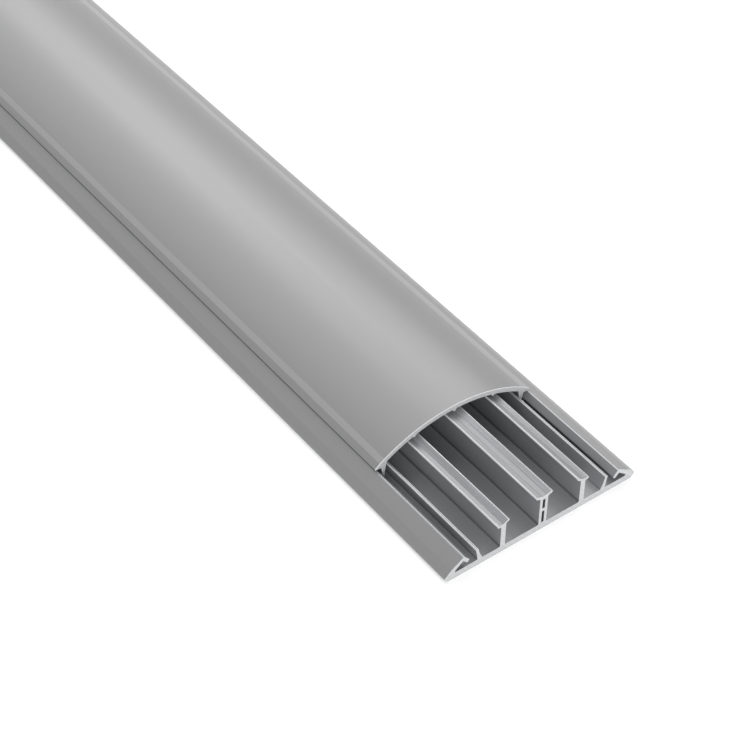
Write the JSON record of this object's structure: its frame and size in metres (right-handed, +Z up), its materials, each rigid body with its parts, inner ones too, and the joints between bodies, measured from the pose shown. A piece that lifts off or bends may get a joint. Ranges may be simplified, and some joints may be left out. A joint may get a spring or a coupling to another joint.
{
  "type": "floor cord cover",
  "caption": "Low arched floor cable trunking: a ramped base divided into cable compartments and a clip-on cover, shown with the cover drawn back.",
  "frame": {"origin": "centre of the base's underside, on the floor, halfway along the base", "axes": "+Y along the length, from the open end towards the far end; +Z up; +X across the width, to the right when looking along +Y"},
  "size_m": [0.075, 1.0435, 0.018],
  "materials": {
    "base_pvc": "satin extruded grey rigid PVC",
    "cover_pvc": "satin extruded grey rigid PVC"
  },
  "bodies": {
    "base": {"base": "base_pvc"},
    "cover": {"cover": "cover_pvc"}
  },
  "joints": [
    {"name": "cover_slide", "type": "slide", "parent": "base", "child": "cover", "axis": [0, 1, 0], "range_m": [-0.9435, 0.8565]}
  ]
}
